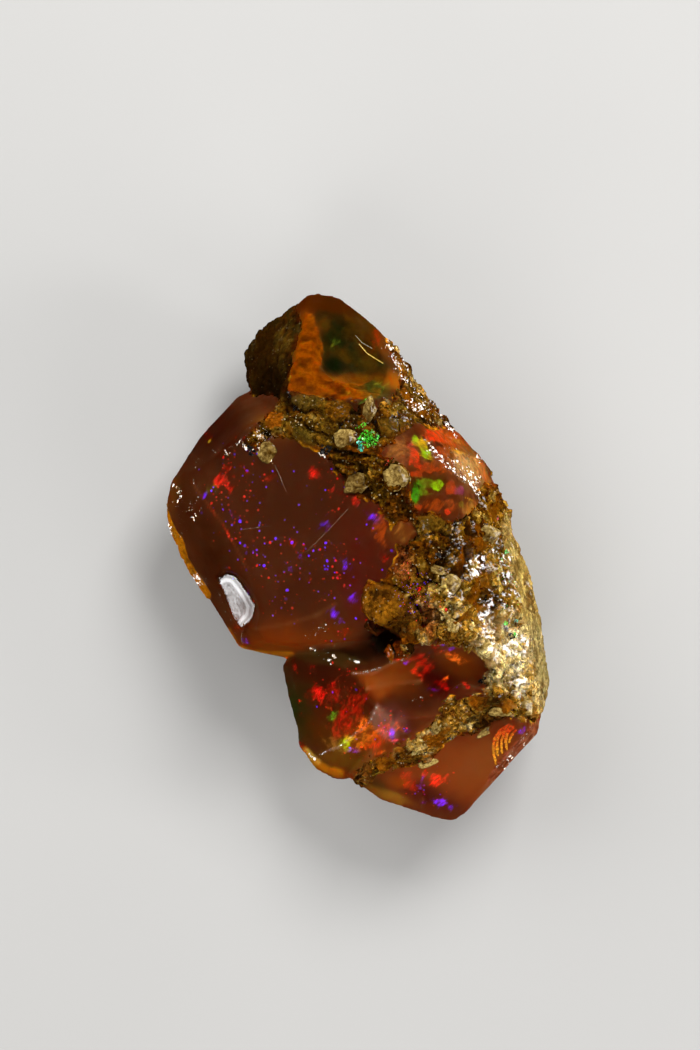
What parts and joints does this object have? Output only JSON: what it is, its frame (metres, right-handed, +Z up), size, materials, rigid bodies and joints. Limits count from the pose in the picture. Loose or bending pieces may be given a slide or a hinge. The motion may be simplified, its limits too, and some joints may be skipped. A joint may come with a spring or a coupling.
{
  "type": "rough opal",
  "caption": "Palm-sized lump of rough fire opal with smooth shell-shaped breaks and a rough crust of host rock, lying on its flat underside as a specimen or prop.",
  "frame": {"origin": "middle of the outline in plan, on the flat break the stone rests on", "axes": "+Y along the stone towards its peak, +X across it towards the rocky flank, +Z up through the best face"},
  "size_m": [0.0546, 0.075, 0.0335],
  "materials": {
    "opal": "glassy broken opal, see-through amber red",
    "host_rock": "rough ochre rhyolite crust, damp in places"
  },
  "bodies": {
    "root": {"rough_opal": "opal"}
  },
  "joints": []
}
